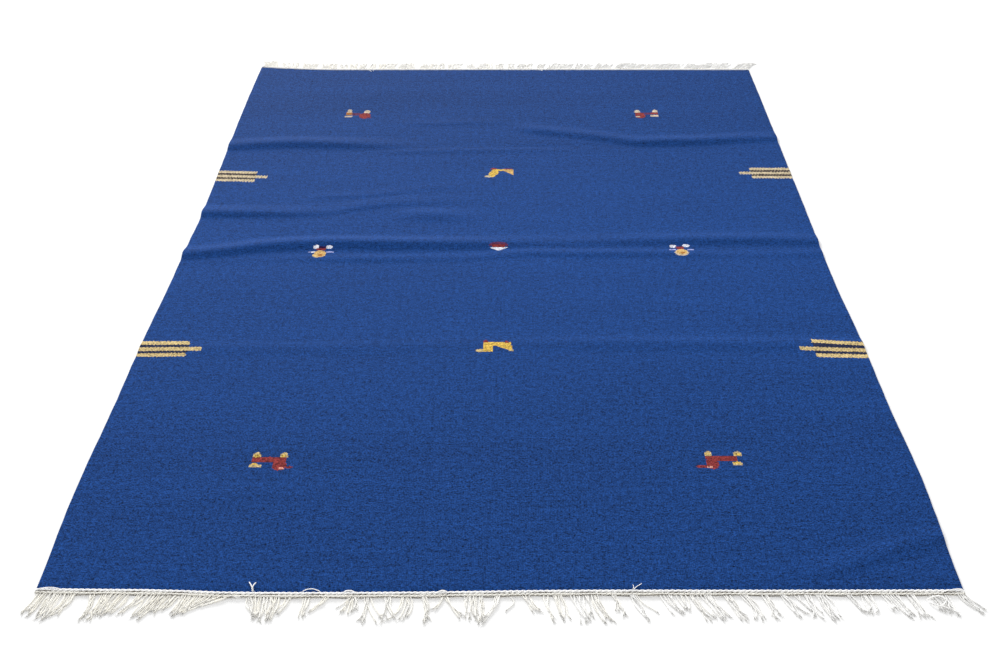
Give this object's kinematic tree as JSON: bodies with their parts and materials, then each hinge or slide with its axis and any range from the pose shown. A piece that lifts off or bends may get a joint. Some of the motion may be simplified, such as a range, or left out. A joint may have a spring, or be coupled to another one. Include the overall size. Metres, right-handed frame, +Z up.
{
  "type": "kilim rug",
  "caption": "Flat-woven wool rug, blue with small woven animals and gold bars at its sides, low folds, twined cream ends and knotted fringes.",
  "frame": {"origin": "on the floor under the middle of the rug, fringes included", "axes": "+X across the rug to its right side, +Y along it to the far end, +Z up"},
  "size_m": [1.7512, 2.5655, 0.0138],
  "materials": {
    "blue_wool": "matt hand-spun wool, weft-faced weave",
    "cream_cotton": "matt twined cotton",
    "fringe_cotton": "matt two-ply cotton warp ends"
  },
  "bodies": {
    "root": {"woven_field": "blue_wool", "near_end_cord": "cream_cotton", "far_end_cord": "cream_cotton", "near_fringe": "fringe_cotton", "far_fringe": "fringe_cotton"}
  },
  "joints": []
}
